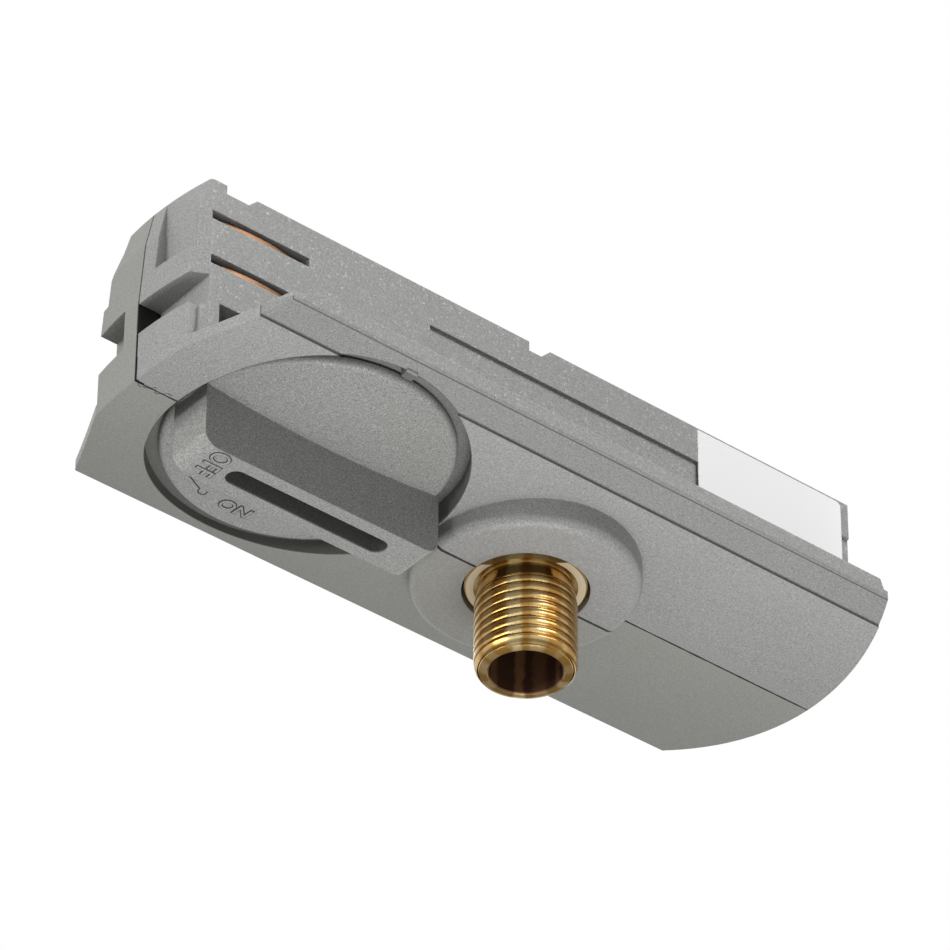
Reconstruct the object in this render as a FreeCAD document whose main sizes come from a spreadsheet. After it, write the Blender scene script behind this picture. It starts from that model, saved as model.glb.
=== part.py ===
import FreeCAD
import Part
import Sketcher
import os
from types import SimpleNamespace

# Track light adapter, in millimetres, the way it hangs under the track.
# Z points up. The origin is on the nipple's axis, level with the lowest line of
# the crowned cover. +X runs to the round end of the cover, -Y is the near side
# with the contact slots and the label.

doc = FreeCAD.newDocument("TrackAdapter")

SIZES = {
    # cover: thin crowned plate with a raised rail along both long edges
    "crown_radius": 73.0,
    "skin": 1.2,
    "cover_left": 47.05,
    "cover_right": 36.55,
    "cover_half": 16.8,
    "left_round": 38.0,
    "right_round": 33.5,
    "corner_foot_y": 7.0,
    "rail_draft": 0.45,
    "seat_level": 4.0,
    "band_depth": 0.25,
    # knob pocket
    "knob_offset": 26.75,
    "pocket_radius": 15.42,
    "pocket_wall": 1.2,
    "nub_width": 1.2,
    "nub_reach": 0.7,
    # boss round the nipple
    "boss_radius": 11.26,
    "boss_drop": 2.27,
    "boss_round": 1.0,
    "boss_bore": 6.23,
    "shoulder_low": 1.2,
    "shoulder_top": 2.8,
    # contact box
    "box_near": 7.9,
    "box_top": 20.4,
    "box_foot": 1.0,
    "far_low": 6.8,
    "end_lean_start": 9.0,
    "end_lean_break": 16.4,
    "end_lean_low": 0.5,
    "end_lean_top": 1.3,
    "corner_cut": 0.8,
    "corner_cut_long": 1.5,
    "seam_gap": 0.2,
    "wall": 1.4,
    "far_wall": 1.2,
    "ceiling": 1.5,
    # chambers inside the box
    "shelf_gap": 5.15,
    # openings in the walls
    "live_slot_low": 15.7,
    "live_slot_top": 16.7,
    "neutral_slot_low": 10.4,
    "neutral_slot_top": 11.45,
    # small forms on the outside
    "groove_low": 5.4,
    "groove_top": 9.0,
    "web_far": 2.2,
    "foot_block_near": 7.0,
    "wedge_left": 7.2,
    "wedge_right": 2.0,
    "wedge_low": 12.2,
    "wedge_depth": 1.1,
    "notch_one_left": 43.1,
    "notch_one_right": 40.5,
    "notch_one_depth": 1.0,
    "notch_two_left": 6.13,
    "notch_two_right": 4.58,
    "notch_two_depth": 1.1,
    "panel_left": 18.5,
    "panel_top": 16.2,
    "panel_depth": 0.3,
    # lock knob
    "knob_radius": 14.1,
    "knob_face": 0.65,
    "knob_dome": 117.0,
    "knob_edge": 0.6,
    "bar_half_length": 13.85,
    "bar_width": 5.0,
    "bar_bottom": 5.5,
    "bar_round": 1.6,
    "bar_slot_left": 9.35,
    "bar_slot_right": 9.45,
    "bar_slot_width": 2.2,
    "bar_slot_depth": 3.6,
    "stem_radius": 3.4,
    "stem_fit": 0.05,
    "square_drive": 4.6,
    "drive_fit": 0.05,
    # retaining clip, lock wings and cam rotor on the stem
    "clip_thick": 0.45,
    "clip_play": 0.05,
    "clip_seat": 2.8,
    "clip_outer": 4.6,
    "clip_mouth": 3.6,
    "wing_thick": 1.0,
    "wing_reach": 16.0,
    "wing_width": 6.0,
    "rotor_thick": 2.0,
    "rotor_radius": 4.5,
    "crank": 1.5,
    "crank_pin": 0.9,
    "detent_radius": 0.9,
    # contact carriages and blades
    "slide_gap": 0.3,
    "block_back": 2.4,
    "fork_thick": 1.6,
    "fork_wall": 1.2,
    "fork_play": 0.3,
    "fork_split": 0.2,
    "blade_thick": 0.5,
    "blade_inset": 0.3,
    "blade_ear": 0.8,
    "blade_bow": 30.0,
    "blade_root": 0.6,
    "blade_fit": 0.05,
    "spring_thick": 0.3,
    "spring_half": 4.25,
    "spring_hump": 0.45,
    "spring_back_gap": 0.1,
    # nipple and its nut
    "thread_radius": 5.0,
    "nipple_tip": 11.84,
    "nipple_top": 5.6,
    "nipple_bore": 3.56,
    "nipple_chamfer": 0.4,
    "undercut_radius": 4.6,
    "undercut_low": 2.6,
    "flange_radius": 5.95,
    "flange_low": 1.95,
    "flange_flat": 4.7,
    "nipple_fit": 0.05,
    "seat_gap": 0.1,
    "nut_thick": 2.3,
    # wire terminals
    "block_start": 6.0,
    "terminal_pitch": 6.4,
    "terminal_wide": 4.4,
    "terminal_deep": 5.4,
    "terminal_tall": 5.6,
    "terminal_low": 10.2,
    "terminal_wall": 1.0,
    "terminal_fit": 0.05,
    "wire_hole": 1.3,
    "post_width": 1.6,
    "post_reach": 4.0,
    "screw_radius": 1.2,
    "screw_head": 1.9,
    "screw_head_tall": 1.3,
    "screw_recess": 0.6,
    # screws that hold the two halves together
    "joint_one_x": 5.5,
    "joint_one_z": 15.6,
    "joint_two_z": 10.5,
    "joint_boss": 2.4,
    "joint_screw": 1.1,
    "joint_head": 1.8,
    "joint_head_tall": 1.4,
    "joint_sink": 0.3,
    "joint_fit": 0.05,
    "joint_tip_gap": 1.2,
    # label
    "label_thick": 0.12,
    "label_corner": 0.6,
    # blocks used only to divide or trim reach this far past the part
    "beyond": 60.0,
}

# sizes that follow from others by a sheet formula
TIED = {
    # cover and rails
    "corner_foot_x": "cover_left - 0.65",
    "corner_tip_x": "cover_left - 5.45",
    "rail_inner": "cover_half - 0.9",
    "rail_outer": "cover_half + 0.3",
    "rail_left_low": "cover_left - 5.15",
    "rail_left_top": "cover_left - 7.15",
    "rail_right_low": "cover_right - 3.85",
    "rail_right_top": "cover_right - 5.75",
    "band_inner": "cover_half - 3.1",
    # levels from the pocket's roof up to the carriages
    "roof_top": "seat_level - 0.2",
    "roof_low": "roof_top - 1.2",
    "knob_back": "roof_low - 0.3",
    "clip_low": "roof_top + 0.1",
    "wing_low": "seat_level + 0.75",
    "wing_top": "wing_low + wing_thick",
    "lock_slot_top": "wing_top + 0.31",
    "rotor_low": "wing_top + 0.35",
    "rotor_top": "rotor_low + rotor_thick",
    "drive_top": "rotor_low + 1.5",
    "shelf_low": "lock_slot_top + 0.19",
    "shelf_top": "rotor_top + 0.1",
    "crank_pin_top": "shelf_top + slide_gap + fork_thick + 1.1",
    # keyed far side of the box
    "far_mid": "far_low - 0.9",
    "far_high": "far_low - 2.4",
    "far_top": "far_low - 2.9",
    "far_step_level": "box_top - 7.7",
    "far_slope_level": "box_top - 4.6",
    "far_break_level": "box_top - 2.1",
    # chambers and openings along the box
    "lock_room_left": "knob_offset + wing_reach + 0.45",
    "lock_room_right": "knob_offset - wing_reach - 0.45",
    "wire_room_left": "lock_room_right - 2.1",
    "wire_room_right": "cover_right - 2.35",
    "lock_slot_left": "knob_offset + wing_reach + 0.75",
    "lock_slot_right": "knob_offset - wing_width / 2 - 1.25",
    "slot_left": "knob_offset + 17.9",
    "slot_right": "knob_offset + 6.45",
    "groove_near": "cover_left - 2.35",
    "foot_block_end": "cover_left - 1.7",
    "groove_web": "cover_left - 2.55",
    # carriages and blades
    "blade_left": "slot_left - 0.35",
    "blade_right": "slot_right + 0.3",
    "blade_neck": "lock_room_left - 0.4",
    "block_left": "lock_room_left - 0.8",
    "block_right": "blade_right - 0.5",
    "block_front": "box_near - wall - 2 * crank - 0.5",
    "block_top": "live_slot_top + 0.9",
    "earth_block_top": "neutral_slot_top + 1.55",
    "earth_block_far": "far_mid - far_wall - 2 * crank - 0.3",
    # nut, label and the second joining screw
    "nut_width": "2 * (far_low - far_wall - seat_gap)",
    "label_right": "cover_right - 2.05",
    "label_left": "label_right - 19",
    "label_top": "box_top - 0.3",
    "label_low": "label_top - 7.5",
    "joint_two_x": "cover_right - 5.55",
}


class Size:
    """A length together with the sheet formula that gives it."""

    def __init__(self, value, formula):
        self.value = value
        self.formula = formula

    def join(self, other, sign, value):
        return Size(value, "(%s %s %s)" % (self.formula, sign, other.formula))

    def __add__(self, other):
        other = size_of(other)
        return self.join(other, "+", self.value + other.value)

    def __sub__(self, other):
        other = size_of(other)
        return self.join(other, "-", self.value - other.value)

    def __mul__(self, other):
        other = size_of(other)
        return self.join(other, "*", self.value * other.value)

    def __truediv__(self, other):
        other = size_of(other)
        return self.join(other, "/", self.value / other.value)

    def __neg__(self):
        return size_of(0) - self

    def __radd__(self, other):
        return size_of(other) + self

    def __rsub__(self, other):
        return size_of(other) - self

    def __rmul__(self, other):
        return size_of(other) * self


def size_of(number):
    if isinstance(number, Size):
        return number
    return Size(float(number), "(%r)" % float(number))


def make_sheet():
    sheet = doc.addObject("Spreadsheet::Sheet", "Sizes")
    cells = {alias: str(value) for alias, value in SIZES.items()}
    cells.update({alias: "=" + formula for alias, formula in TIED.items()})
    for row, (alias, content) in enumerate(cells.items(), start=1):
        sheet.set("A%d" % row, alias.replace("_", " "))
        sheet.setAlias("B%d" % row, alias)
        sheet.set("B%d" % row, content)
    doc.recompute()
    return SimpleNamespace(
        **{alias: Size(float(sheet.get(alias)), "Sizes." + alias) for alias in cells}
    )


S = make_sheet()


def bind(item, path, length):
    item.setExpression(path, size_of(length).formula)


def place(item, x, y, z):
    bind(item, "Placement.Base.x", x)
    bind(item, "Placement.Base.y", y)
    bind(item, "Placement.Base.z", z)


def block(name, x0, x1, y0, y1, z0, z1):
    """A box between two corners."""
    item = doc.addObject("Part::Box", name)
    bind(item, "Length", size_of(x1) - x0)
    bind(item, "Width", size_of(y1) - y0)
    bind(item, "Height", size_of(z1) - z0)
    place(item, x0, y0, z0)
    return item


TURNS = {
    "x": FreeCAD.Rotation(FreeCAD.Vector(0, 1, 0), 90),
    "y": FreeCAD.Rotation(FreeCAD.Vector(1, 0, 0), -90),
    "z": FreeCAD.Rotation(),
}


def rod(name, radius, x, y, z, length, along="z"):
    """A cylinder that starts at a point and runs along +X, +Y or +Z."""
    item = doc.addObject("Part::Cylinder", name)
    item.Placement = FreeCAD.Placement(FreeCAD.Vector(), TURNS[along])
    bind(item, "Radius", radius)
    bind(item, "Height", length)
    place(item, x, y, z)
    return item


def cone(name, low_radius, top_radius, x, y, z, length, along="z"):
    item = doc.addObject("Part::Cone", name)
    item.Placement = FreeCAD.Placement(FreeCAD.Vector(), TURNS[along])
    bind(item, "Radius1", low_radius)
    bind(item, "Radius2", top_radius)
    bind(item, "Height", length)
    place(item, x, y, z)
    return item


PLANES = {"z": "XY_Plane", "x": "YZ_Plane", "y": "XZ_Plane"}


def prism(name, along, corners, start, end):
    """A straight extrusion of a polygon along +X, +Y or +Z.

    The corners are (y, z), (x, z) or (x, y) pairs, each a length from the axes.
    """
    body = doc.addObject("PartDesign::Body", name)
    sketch = body.newObject("Sketcher::SketchObject", name + "_outline")
    for feature in body.Origin.OriginFeatures:
        if feature.Role == PLANES[along]:
            sketch.AttachmentSupport = [(feature, "")]
    sketch.MapMode = "FlatFace"
    points = [(size_of(a), size_of(b)) for a, b in corners]
    count = len(points)
    for index in range(count):
        here = points[index]
        there = points[(index + 1) % count]
        line = Part.LineSegment(
            FreeCAD.Vector(here[0].value, here[1].value, 0),
            FreeCAD.Vector(there[0].value, there[1].value, 0),
        )
        sketch.addGeometry(line, False)
    for index in range(count):
        after = (index + 1) % count
        sketch.addConstraint(Sketcher.Constraint("Coincident", index, 2, after, 1))
    for index, point in enumerate(points):
        for kind, length in zip(("DistanceX", "DistanceY"), point):
            number = sketch.addConstraint(
                Sketcher.Constraint(kind, -1, 1, index, 1, length.value)
            )
            bind(sketch, "Constraints[%d]" % number, length)
    pad = body.newObject("PartDesign::Pad", name + "_pad")
    pad.Profile = sketch
    bind(pad, "Length", size_of(end) - start)
    # the XZ plane faces -Y, so an extrusion along +Y is reversed
    pad.Reversed = along == "y"
    body.Tip = pad
    shift = {"x": (start, 0, 0), "y": (0, start, 0), "z": (0, 0, start)}[along]
    place(body, *shift)
    return body


def cut(name, base, *tools):
    for number, tool in enumerate(tools, start=1):
        step = doc.addObject("Part::Cut", "%s_%d" % (name, number))
        step.Base = base
        step.Tool = tool
        base = step
    return base


def fuse(name, *pieces):
    item = doc.addObject("Part::MultiFuse", name)
    item.Shapes = list(pieces)
    item.Refine = True
    return item


def common(name, *pieces):
    item = doc.addObject("Part::MultiCommon", name)
    item.Shapes = list(pieces)
    item.Refine = True
    return item


def edges_where(item, test):
    """Numbers of the edges whose every end and middle passes the test."""
    doc.recompute()
    found = []
    for number, edge in enumerate(item.Shape.Edges, start=1):
        if edge.Degenerated:
            continue
        points = edge.discretize(5)
        if all(test(point) for point in points):
            found.append(number)
    return found


def rounded(name, base, radius, test):
    """Fillet the edges that pass the test."""
    item = doc.addObject("Part::Fillet", name)
    item.Base = base
    value = size_of(radius).value
    item.Edges = [(number, value, value) for number in edges_where(base, test)]
    return item


def finish(item, label):
    item.Label = label
    NODES.append(item)
    return item


NODES = []
KNOB_X = -S.knob_offset


def near_to(value, size, slack=0.02):
    return abs(value - size_of(size).value) < slack


def cover():
    """Crowned skin with its end curves, and the rail along each long edge."""
    reach = S.cover_half
    lead = 0.3
    lead_x = -(S.corner_foot_x + (S.corner_foot_x - S.corner_tip_x) * lead)
    lead_y = S.corner_foot_y - (reach - S.corner_foot_y) * lead
    outline = prism(
        "cover_outline", "z",
        [
            (lead_x, -lead_y),
            (-S.corner_tip_x, -reach),
            (S.cover_right + 1, -reach),
            (S.cover_right + 1, reach),
            (-S.corner_tip_x, reach),
            (lead_x, lead_y),
        ],
        -1, S.seat_level,
    )
    centre = S.left_round - S.cover_left
    left_end = fuse(
        "cover_left_end",
        rod("cover_left_round", S.left_round, centre, 0, -2, S.seat_level + 3),
        block("cover_left_keep", centre, S.beyond, -S.beyond, S.beyond, -2, S.seat_level + 1),
    )
    right_end = right_round("cover_right_end", S.seat_level + 1)
    crown = crown_rod("cover_crown", 0)
    plate = common("cover_plate", outline, left_end, right_end, crown)
    hollow = crown_rod("cover_hollow", S.skin)
    skin = cut("cover_skin", plate, hollow)
    rails = []
    for side, sign in (("near", -1), ("far", 1)):
        profile = [
            (sign * S.rail_inner, 1),
            (sign * (S.rail_outer - S.rail_draft), 1),
            (sign * S.rail_outer, S.seat_level),
            (sign * S.rail_inner, S.seat_level),
        ]
        rail = prism("rail_" + side, "x", profile, -S.cover_left, S.cover_right)
        trim = prism(
            "rail_ends_" + side, "y",
            [
                (-S.rail_left_low, 1),
                (S.rail_right_low, 1),
                (S.rail_right_top, S.seat_level),
                (-S.rail_left_top, S.seat_level),
            ],
            -S.rail_outer - 1, S.rail_outer + 1,
        )
        lower = crown_rod("rail_crown_" + side, 0)
        rails.append(common("rail_trimmed_" + side, rail, trim, lower))
    return fuse("cover", skin, *rails)


def right_round(name, top):
    """Everything to the left of the round end that cover and box share."""
    centre = S.cover_right - S.right_round
    return fuse(
        name,
        rod(name + "_rod", S.right_round, centre, 0, -2, top + 2),
        block(name + "_keep", -S.beyond, centre, -S.beyond, S.beyond, -2, top),
    )


def crown_rod(name, inset):
    """The long cylinder whose lowest line is the crown of the cover."""
    return rod(
        name, S.crown_radius - inset, -S.beyond, 0, S.crown_radius, S.beyond * 2, "x"
    )


def box_outside():
    """Contact box: keyed section, ends that follow the cover, leaning left end."""
    section = prism(
        "box_section", "x",
        [
            (-S.box_near, S.box_foot),
            (S.far_low, S.box_foot),
            (S.far_low, S.far_step_level),
            (S.far_mid, S.far_step_level),
            (S.far_mid, S.far_slope_level),
            (S.far_high, S.far_break_level),
            (S.far_top, S.box_top),
            (-S.box_near, S.box_top),
        ],
        -S.cover_left - 2, S.cover_right + 2,
    )
    centre = S.left_round - S.cover_left
    foot = rod("end_foot", S.left_round, centre, 0, 0, S.end_lean_start)
    lean = cone(
        "end_lean", S.left_round, S.left_round - S.end_lean_low,
        centre, 0, S.end_lean_start, S.end_lean_break - S.end_lean_start,
    )
    top = cone(
        "end_lean_upper", S.left_round - S.end_lean_low, S.left_round - S.end_lean_top,
        centre, 0, S.end_lean_break, S.box_top - S.end_lean_break,
    )
    # the leaning rounds only shape the left end, the rest is kept whole
    keep = block(
        "end_keep", -S.cover_left + S.corner_cut + 2, S.cover_right + 3,
        -S.box_near - 1, S.far_low + 1, 0, S.box_top,
    )
    left_shape = fuse("end_shape", foot, lean, top, keep)
    right_shape = right_round("end_right", S.box_top)
    outside = common("box_body", section, left_shape, right_shape)
    corner_x = -S.corner_foot_x + 0.3
    corner_y = -S.box_near - S.corner_cut
    corner = prism(
        "box_corner", "z",
        [
            (corner_x - S.corner_cut_long, corner_y),
            (corner_x + S.corner_cut_long * 2, corner_y),
            (corner_x - S.corner_cut_long, corner_y + S.corner_cut * 3),
        ],
        S.roof_top, S.box_top + 1,
    )
    # the lower block of the left end is narrower than the box above it
    foot_step = block(
        "foot_step", -S.cover_left - 2, -S.foot_block_end, -S.box_near - 1, -S.foot_block_near,
        0, S.groove_low,
    )
    return cut("box_cornered", outside, corner, foot_step)


def room(name, left, right, floor):
    """A chamber inside the box, its section one wall inside the box's section."""
    near = -S.box_near + S.wall
    roof = S.box_top - S.ceiling
    return prism(
        name, "x",
        [
            (near, floor),
            (S.far_low - S.far_wall, floor),
            (S.far_low - S.far_wall, S.far_step_level - S.far_wall),
            (S.far_mid - S.far_wall, S.far_step_level - S.far_wall),
            (S.far_mid - S.far_wall, S.far_slope_level - S.far_wall / 2),
            (S.far_high - S.wall, S.far_break_level),
            (S.far_high - S.wall, roof),
            (near, roof),
        ],
        left, right,
    )


def wall_slot(name, side, left, right, low, top):
    """A slot through one long wall of the box, mirrored about the knob on the far side."""
    if side == "near":
        return block(name, -left, -right, -S.box_near - 1, -S.box_near + S.wall + 0.01, low, top)
    turned_left = 2 * KNOB_X + right
    turned_right = 2 * KNOB_X + left
    return block(
        name, turned_left, turned_right, S.far_low - S.far_wall - 0.01, S.far_low + 1, low, top
    )


def end_forms():
    """Cuts on the left end: a groove on either side of the web, and the wedge pocket."""
    left = -S.cover_left - 1
    near_groove = prism(
        "groove_near_cut", "z",
        [
            (left, -S.box_near - 1),
            (-S.groove_near, -S.box_near - 1),
            (-S.groove_web, 0),
            (left, 0),
        ],
        S.groove_low, S.groove_top,
    )
    far_groove = block(
        "groove_far_cut", left, -S.groove_web, S.web_far, S.far_low + 1,
        S.groove_low - 0.4, S.groove_top + 0.6,
    )
    # below the groove the near half stands a hair off the far half
    seam = block(
        "seam_cut", left, -S.cover_left + 1, -S.seam_gap, 0, -1, S.groove_low,
    )
    wedge = prism(
        "wedge_cut", "y",
        [
            (left, S.wedge_low),
            (-S.cover_left + S.end_lean_low + S.wedge_depth, S.wedge_low),
            (-S.cover_left + S.end_lean_top + 0.05, S.box_top),
            (left, S.box_top),
        ],
        -S.wedge_left, -S.wedge_right,
    )
    return [near_groove, far_groove, seam, wedge]


def top_notch(name, left, right, depth):
    """A notch in the near top edge with one leaning flank."""
    floor = S.box_top - depth
    return prism(
        name, "y",
        [
            (-left, floor),
            (-right, floor),
            (-right + depth + 0.5, S.box_top + 0.5),
            (-left, S.box_top + 0.5),
        ],
        -S.box_near - 1, -S.box_near + S.wall,
    )


def joint_places():
    return (
        ("one", -S.joint_one_x, S.joint_one_z, S.far_mid),
        ("two", S.joint_two_x, S.joint_two_z, S.far_low),
    )


def joint_bosses():
    near = -S.box_near + 0.5
    bosses = []
    for name, x, z, outer in joint_places():
        bosses.append(
            rod("joint_boss_" + name, S.joint_boss, x, near, z, outer - 0.8 - near, "y")
        )
    return bosses


def joint_holes():
    cuts = []
    tip = -S.box_near + S.joint_tip_gap
    for name, x, z, outer in joint_places():
        seat = outer - S.joint_sink - S.joint_head_tall
        cuts.append(
            rod("joint_hole_" + name, S.joint_screw + S.joint_fit, x, tip, z, seat - tip + 0.1, "y")
        )
        cuts.append(
            rod("joint_sink_" + name, S.joint_head + S.joint_fit, x, seat, z, S.beyond / 20, "y")
        )
    return cuts


def shelves():
    """Shelves that carry the two contact carriages above the lock wings."""
    near = -S.box_near + S.wall - 0.2
    far = S.far_low - S.far_wall + 0.2
    left = block(
        "shelf_left", -S.lock_room_left - 0.2, KNOB_X - S.shelf_gap, near, far,
        S.shelf_low, S.shelf_top,
    )
    right = block(
        "shelf_right", KNOB_X + S.shelf_gap, -S.lock_room_right + 0.2, near, far,
        S.shelf_low, S.shelf_top,
    )
    return [left, right]


def terminal_block_end():
    return S.block_start + S.terminal_pitch * 3 + S.terminal_wall


def posts():
    """Posts on the near wall under both ends of the terminal block."""
    near = -S.box_near + S.wall - 0.2
    low = S.shoulder_top - 0.2
    first = block(
        "post_one", S.block_start + 1, S.block_start + 1 + S.post_width,
        near, near + S.post_reach, low, S.terminal_low - S.terminal_wall,
    )
    end = terminal_block_end()
    second = block(
        "post_two", end - 1 - S.post_width, end - 1,
        near, near + S.post_reach, low, S.terminal_low - S.terminal_wall,
    )
    return [first, second]


def housing():
    """Both halves in one piece, before the split along the seam."""
    boss = rod("boss_blank", S.boss_radius, 0, 0, -S.boss_drop, S.boss_drop + S.shoulder_top)
    boss = rounded(
        "boss", boss, S.boss_round, lambda point: near_to(point.z, -S.boss_drop)
    )
    pocket_outside = rod(
        "pocket_outside", S.pocket_radius + S.pocket_wall, KNOB_X, 0, S.skin, S.roof_top - S.skin
    )
    pocket_crown = crown_rod("pocket_crown", 0)
    pocket_outside = common("pocket_shape", pocket_outside, pocket_crown)
    shell = fuse("shell", cover(), box_outside(), pocket_outside, boss)
    lock_room = room("lock_room", -S.lock_room_left, -S.lock_room_right, S.roof_top)
    wire_room = room("wire_room", -S.wire_room_left, S.wire_room_right, S.shoulder_top)
    hollow = cut("hollow", shell, lock_room, wire_room)
    filled = fuse("filled", hollow, *shelves(), *posts(), *joint_bosses())
    nub = block(
        "pocket_nub", KNOB_X - S.nub_width / 2, KNOB_X + S.nub_width / 2,
        -S.pocket_radius - 0.3, -S.pocket_radius + S.nub_reach, 0, S.roof_low + 0.2,
    )
    nub_crown = crown_rod("nub_crown", 0)
    nub = common("pocket_nub_crowned", nub, nub_crown)
    pocket = rod("pocket_void", S.pocket_radius, KNOB_X, 0, -3, S.roof_low + 3)
    stem_hole = rod(
        "stem_hole", S.stem_radius + S.stem_fit, KNOB_X, 0, S.roof_low - 1, S.seat_level
    )
    cuts = [pocket, stem_hole]
    cuts.append(rod("boss_hole", S.boss_bore, 0, 0, -S.boss_drop - 1, S.shoulder_low + S.boss_drop + 1))
    cuts.append(
        rod("shoulder_hole", S.thread_radius + S.nipple_fit, 0, 0, 0, S.shoulder_top + 0.5)
    )
    for name, low, top in (
        ("live", S.live_slot_low, S.live_slot_top),
        ("neutral", S.neutral_slot_low, S.neutral_slot_top),
    ):
        cuts.append(wall_slot(name + "_slot", "near", S.slot_left, S.slot_right, low, top))
    cuts.append(
        wall_slot(
            "earth_slot", "far", S.slot_left, S.slot_right, S.neutral_slot_low, S.neutral_slot_top
        )
    )
    for side in ("near", "far"):
        cuts.append(
            wall_slot(
                "lock_slot_" + side, side, S.lock_slot_left, S.lock_slot_right,
                S.roof_top, S.lock_slot_top,
            )
        )
    cuts.extend(end_forms())
    cuts.append(top_notch("notch_one", S.notch_one_left, S.notch_one_right, S.notch_one_depth))
    cuts.append(top_notch("notch_two", S.notch_two_left, S.notch_two_right, S.notch_two_depth))
    cuts.append(
        block(
            "panel", -S.panel_left, S.cover_right + 1, -S.box_near - 1, -S.box_near + S.panel_depth,
            S.roof_top, S.panel_top,
        )
    )
    cuts.extend(joint_holes())
    cuts.append(near_band())
    whole = cut("housing_cut", filled, *cuts)
    return fuse("housing_whole", whole, nub)


def near_band():
    """The shallow step along the near edge of the cover."""
    strip = block(
        "band_strip", -S.beyond, S.beyond, -S.rail_outer - 1, -S.band_inner, -1, S.seat_level
    )
    kept = crown_rod("band_kept", S.band_depth)
    return cut("band", strip, kept)


def housing_halves():
    whole = housing()
    for label, near, far in (
        ("housing_near", -S.beyond, 0),
        ("housing_far", 0, S.beyond),
    ):
        side = block(label + "_side", -S.beyond, S.beyond, near, far, -S.beyond, S.beyond)
        finish(common(label + "_half", whole, side), label)


def lock_knob():
    """Domed disc, grip bar with its slot, and the stem with clip groove and square."""
    disc = rod("knob_disc", S.knob_radius, KNOB_X, 0, S.knob_face, S.knob_back - S.knob_face)
    dome = doc.addObject("Part::Sphere", "knob_dome_ball")
    bind(dome, "Radius", S.knob_dome)
    place(dome, KNOB_X, 0, S.knob_face + S.knob_dome)
    domed = common("knob_domed", disc, dome)
    rim = S.knob_back.value - 0.05
    domed = rounded(
        "knob_face_round", domed, S.knob_edge,
        lambda point: point.z < rim and near_radius(point, S.knob_radius),
    )
    bar = block(
        "knob_bar", KNOB_X - S.bar_half_length, KNOB_X + S.bar_half_length,
        -S.bar_width / 2, S.bar_width / 2, -S.bar_bottom, S.knob_back - 0.3,
    )
    bottom = -S.bar_bottom.value
    half = S.bar_half_length.value
    middle = KNOB_X.value
    bar = rounded(
        "knob_bar_round", bar, S.bar_round,
        lambda point: abs(point.z - bottom) < 0.01 and abs(abs(point.x - middle) - half) < 0.01,
    )
    slot_radius = S.bar_slot_width / 2
    left = KNOB_X - S.bar_slot_left + slot_radius
    right = KNOB_X + S.bar_slot_right - slot_radius
    low = -S.bar_bottom - 1
    slot = fuse(
        "knob_slot",
        block("knob_slot_mid", left, right, -slot_radius, slot_radius, low, low + 1 + S.bar_slot_depth),
        rod("knob_slot_left", slot_radius, left, 0, low, S.bar_slot_depth + 1),
        rod("knob_slot_right", slot_radius, right, 0, low, S.bar_slot_depth + 1),
    )
    bar = cut("knob_bar_slotted", bar, slot)
    stem = rod(
        "knob_stem", S.stem_radius, KNOB_X, 0, S.knob_back - 0.3, S.wing_low - S.knob_back + 0.3
    )
    half_drive = S.square_drive / 2
    drive = block(
        "knob_drive", KNOB_X - half_drive, KNOB_X + half_drive, -half_drive, half_drive,
        S.wing_low - 0.1, S.drive_top,
    )
    solid = fuse("knob_solid", domed, bar, stem, drive)
    ring = cut(
        "clip_groove",
        rod("clip_groove_out", S.stem_radius + 1, KNOB_X, 0, S.clip_low, S.clip_thick + S.clip_play),
        rod("clip_groove_in", S.clip_seat, KNOB_X, 0, S.clip_low - 1, S.clip_thick + 3),
    )
    finish(cut("knob_grooved", solid, ring), "lock_knob")


def near_radius(point, radius):
    across = ((point.x - KNOB_X.value) ** 2 + point.y ** 2) ** 0.5
    return abs(across - radius.value) < 0.02


def square_hole(name, low, top):
    half = S.square_drive / 2 + S.drive_fit
    return block(name, KNOB_X - half, KNOB_X + half, -half, half, low, top)


def stem_clip():
    low = S.clip_low + S.clip_play / 2
    outside = rod("clip_outside", S.clip_outer, KNOB_X, 0, low, S.clip_thick)
    inside = rod("clip_inside", S.clip_seat + S.clip_play, KNOB_X, 0, low - 1, S.clip_thick + 2)
    mouth = block(
        "clip_mouth_cut", KNOB_X, KNOB_X + S.clip_outer + 1, -S.clip_mouth / 2, S.clip_mouth / 2,
        low - 1, low + S.clip_thick + 1,
    )
    finish(cut("clip", outside, inside, mouth), "stem_clip")


def lock_wings():
    """Flat steel plate whose two ends turn out over the lips of the track."""
    reach = S.wing_reach
    top = S.wing_top
    plate = block(
        "wing_plate", KNOB_X - reach - 1, KNOB_X + reach + 1, -S.wing_width / 2, S.wing_width / 2,
        S.wing_low, top,
    )
    ends = rod("wing_ends", reach, KNOB_X, 0, S.wing_low - 1, S.wing_thick + 2)
    plate = common("wing_round", plate, ends)
    hole = square_hole("wing_hole", S.wing_low - 1, top + 1)
    finish(cut("wings", plate, hole), "lock_wings")


def cam_rotor():
    """Disc on the square drive with two crank pins, one for each carriage."""
    top = S.rotor_top
    disc = rod("rotor_disc", S.rotor_radius, KNOB_X, 0, S.rotor_low, S.rotor_thick)
    pins = []
    for name, way in (("left", -1), ("right", 1)):
        pins.append(
            rod(
                "rotor_pin_" + name, S.crank_pin, KNOB_X + way * S.crank, -way * S.crank,
                top - 0.2, S.crank_pin_top - top + 0.2,
            )
        )
    solid = fuse("rotor_solid", disc, *pins)
    socket = square_hole("rotor_socket", S.rotor_low - 1, S.drive_top + 0.1)
    dents = []
    for name, x, y in (("far", 0, 1), ("right", 1, 0)):
        dents.append(
            rod(
                "rotor_dent_" + name, S.detent_radius,
                KNOB_X + x * (S.rotor_radius + 0.2), y * (S.rotor_radius + 0.2),
                S.rotor_low - 1, S.rotor_thick + 2,
            )
        )
    finish(cut("rotor", solid, socket, *dents), "cam_rotor")


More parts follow.
